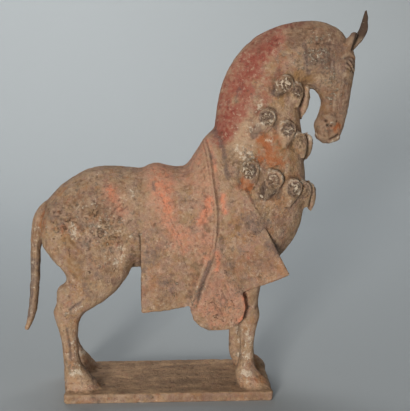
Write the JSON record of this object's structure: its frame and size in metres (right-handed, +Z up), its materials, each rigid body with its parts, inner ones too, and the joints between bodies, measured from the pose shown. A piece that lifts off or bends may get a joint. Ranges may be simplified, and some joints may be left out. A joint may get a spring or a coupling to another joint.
{
  "type": "horse figure",
  "caption": "Standing saddled horse in weathered painted earthenware on a thin slab base, neck arched, head tucked in, with mudguards and rows of drop pendants round its neck.",
  "frame": {"origin": "centre of the underside of the base slab", "axes": "+X towards the head, +Y towards the horse's left side, +Z up"},
  "size_m": [0.2738, 0.0912, 0.3],
  "materials": {
    "earthenware": "matte low-fired clay with worn red and salmon paint, grey mottling and whitish burial crust"
  },
  "bodies": {
    "root": {"horse_figure": "earthenware"}
  },
  "joints": []
}
